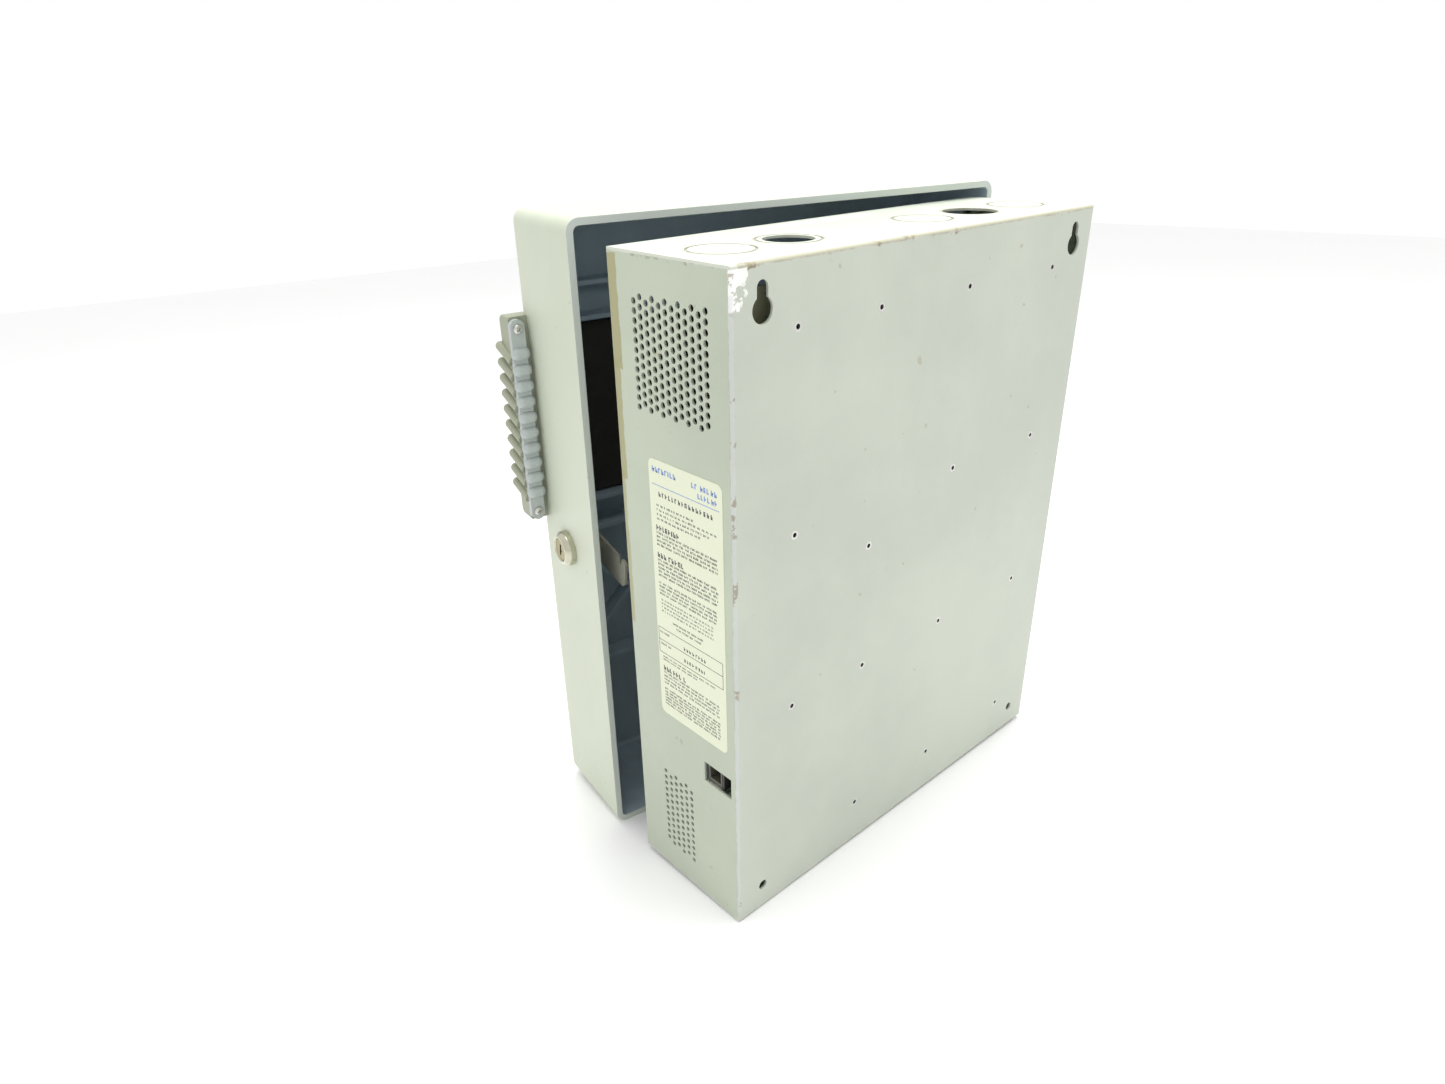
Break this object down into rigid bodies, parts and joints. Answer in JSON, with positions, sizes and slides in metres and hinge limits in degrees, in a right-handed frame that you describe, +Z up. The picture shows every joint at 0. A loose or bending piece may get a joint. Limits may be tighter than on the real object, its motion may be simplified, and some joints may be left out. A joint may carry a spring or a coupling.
{
  "type": "wall-mounted control panel",
  "caption": "Wall-mounted control panel: perforated sheet-metal back box with circuit board, deep moulded cover on side hinges, hooked cam lock and ribbed grip.",
  "frame": {"origin": "centre of the rear wall's outer face, where the panel meets the wall", "axes": "+Z up, -Y out of the wall towards the user, +X towards the lock side"},
  "size_m": [0.348, 0.2224, 0.424],
  "materials": {
    "painted_steel": "satin grey-green enamel over steel sheet",
    "rear_paint": "satin grey enamel, scuffed at the edges",
    "zinc_steel": "zinc plated steel",
    "cover_plastic": "fine textured structural moulding, painted outside, blue-grey inside",
    "label_film": "cream printed film, slightly aged",
    "paper_strip": "plain white paper strip",
    "board_laminate": "green solder mask over glass laminate",
    "terminal_green": "moulded terminal strip",
    "black_plastic": "moulded black plastic",
    "silicon_black": "moulded chip package",
    "relay_plastic": "moulded relay case",
    "transformer_steel": "varnished laminations",
    "coil_tape": "yellow insulating tape over the winding",
    "fuse_glass": "clear glass tube",
    "sink_aluminium": "black anodised extrusion",
    "can_sleeve": "blue shrink sleeve on an aluminium can",
    "contact_gold": "plated contact",
    "lamp_lens": "tinted lamp lens",
    "cell_steel": "plain steel can",
    "earth_brass": "bare brass",
    "strip_grey": "light grey moulding",
    "block_taupe": "taupe moulding",
    "lock_nickel": "nickel plate, lightly worn",
    "plug_brass": "nickelled brass, worn to the base metal",
    "cam_steel": "yellow passivated steel"
  },
  "bodies": {
    "enclosure": {"rear_wall": "rear_paint", "top_flange": "rear_paint", "bottom_flange": "rear_paint", "side_panel_lock": "painted_steel", "side_panel_hinge": "painted_steel", "rating_label": "label_film", "top_label": "paper_strip", "board_standoffs": "zinc_steel", "main_circuit_board": "board_laminate", "board_screws": "zinc_steel", "terminal_strips_left": "terminal_green", "terminal_screws_left": "zinc_steel", "terminal_strips_right": "terminal_green", "terminal_screws_right": "zinc_steel", "transformer_core": "transformer_steel", "transformer_coil": "coil_tape", "transformer_clamp": "zinc_steel", "transformer_nuts": "zinc_steel", "fuse_clips": "zinc_steel", "fuses": "fuse_glass", "heat_sink": "sink_aluminium", "regulators": "silicon_black", "capacitors": "can_sleeve", "output_relays": "relay_plastic", "chip_sockets": "black_plastic", "logic_chips": "silicon_black", "driver_chips": "silicon_black", "expansion_header": "black_plastic", "header_pins": "contact_gold", "status_lamps": "lamp_lens", "backup_cell": "cell_steel", "cell_holder": "black_plastic", "service_jack": "black_plastic", "jack_carrier": "board_laminate", "jack_contacts": "contact_gold", "earth_stud": "earth_brass", "earth_washer": "zinc_steel", "earth_nut": "earth_brass", "latch_strike": "cam_steel", "hinge_box_leaves": "zinc_steel", "hinge_rivets": "zinc_steel", "hinge_pins": "zinc_steel"},
    "cover": {"hinge_cover_straps": "zinc_steel", "hinge_strap_screws": "zinc_steel", "cover_shell": "cover_plastic", "inner_panel": "black_plastic", "inner_panel_screws": "zinc_steel", "grip_front_block": "block_taupe", "grip_rear_strip": "strip_grey", "grip_strip_screws": "zinc_steel", "grip_mounting_screws": "zinc_steel", "lock_barrel": "lock_nickel", "lock_nut": "zinc_steel"},
    "lock": {"lock_plug": "plug_brass", "cam_screw": "zinc_steel", "lock_cam": "cam_steel"}
  },
  "joints": [
    {"name": "cover_swing", "type": "hinge", "parent": "enclosure", "child": "cover", "pos_m": [-0.1652, -0.06, 0], "axis": [0, 0, -1], "range_deg": [-8, 102]},
    {"name": "lock_turn", "type": "hinge", "parent": "cover", "child": "lock", "pos_m": [0.15557, -0.17173, 0.001], "axis": [0.9903, -0.1392, 0], "range_deg": [-80, 10]}
  ]
}
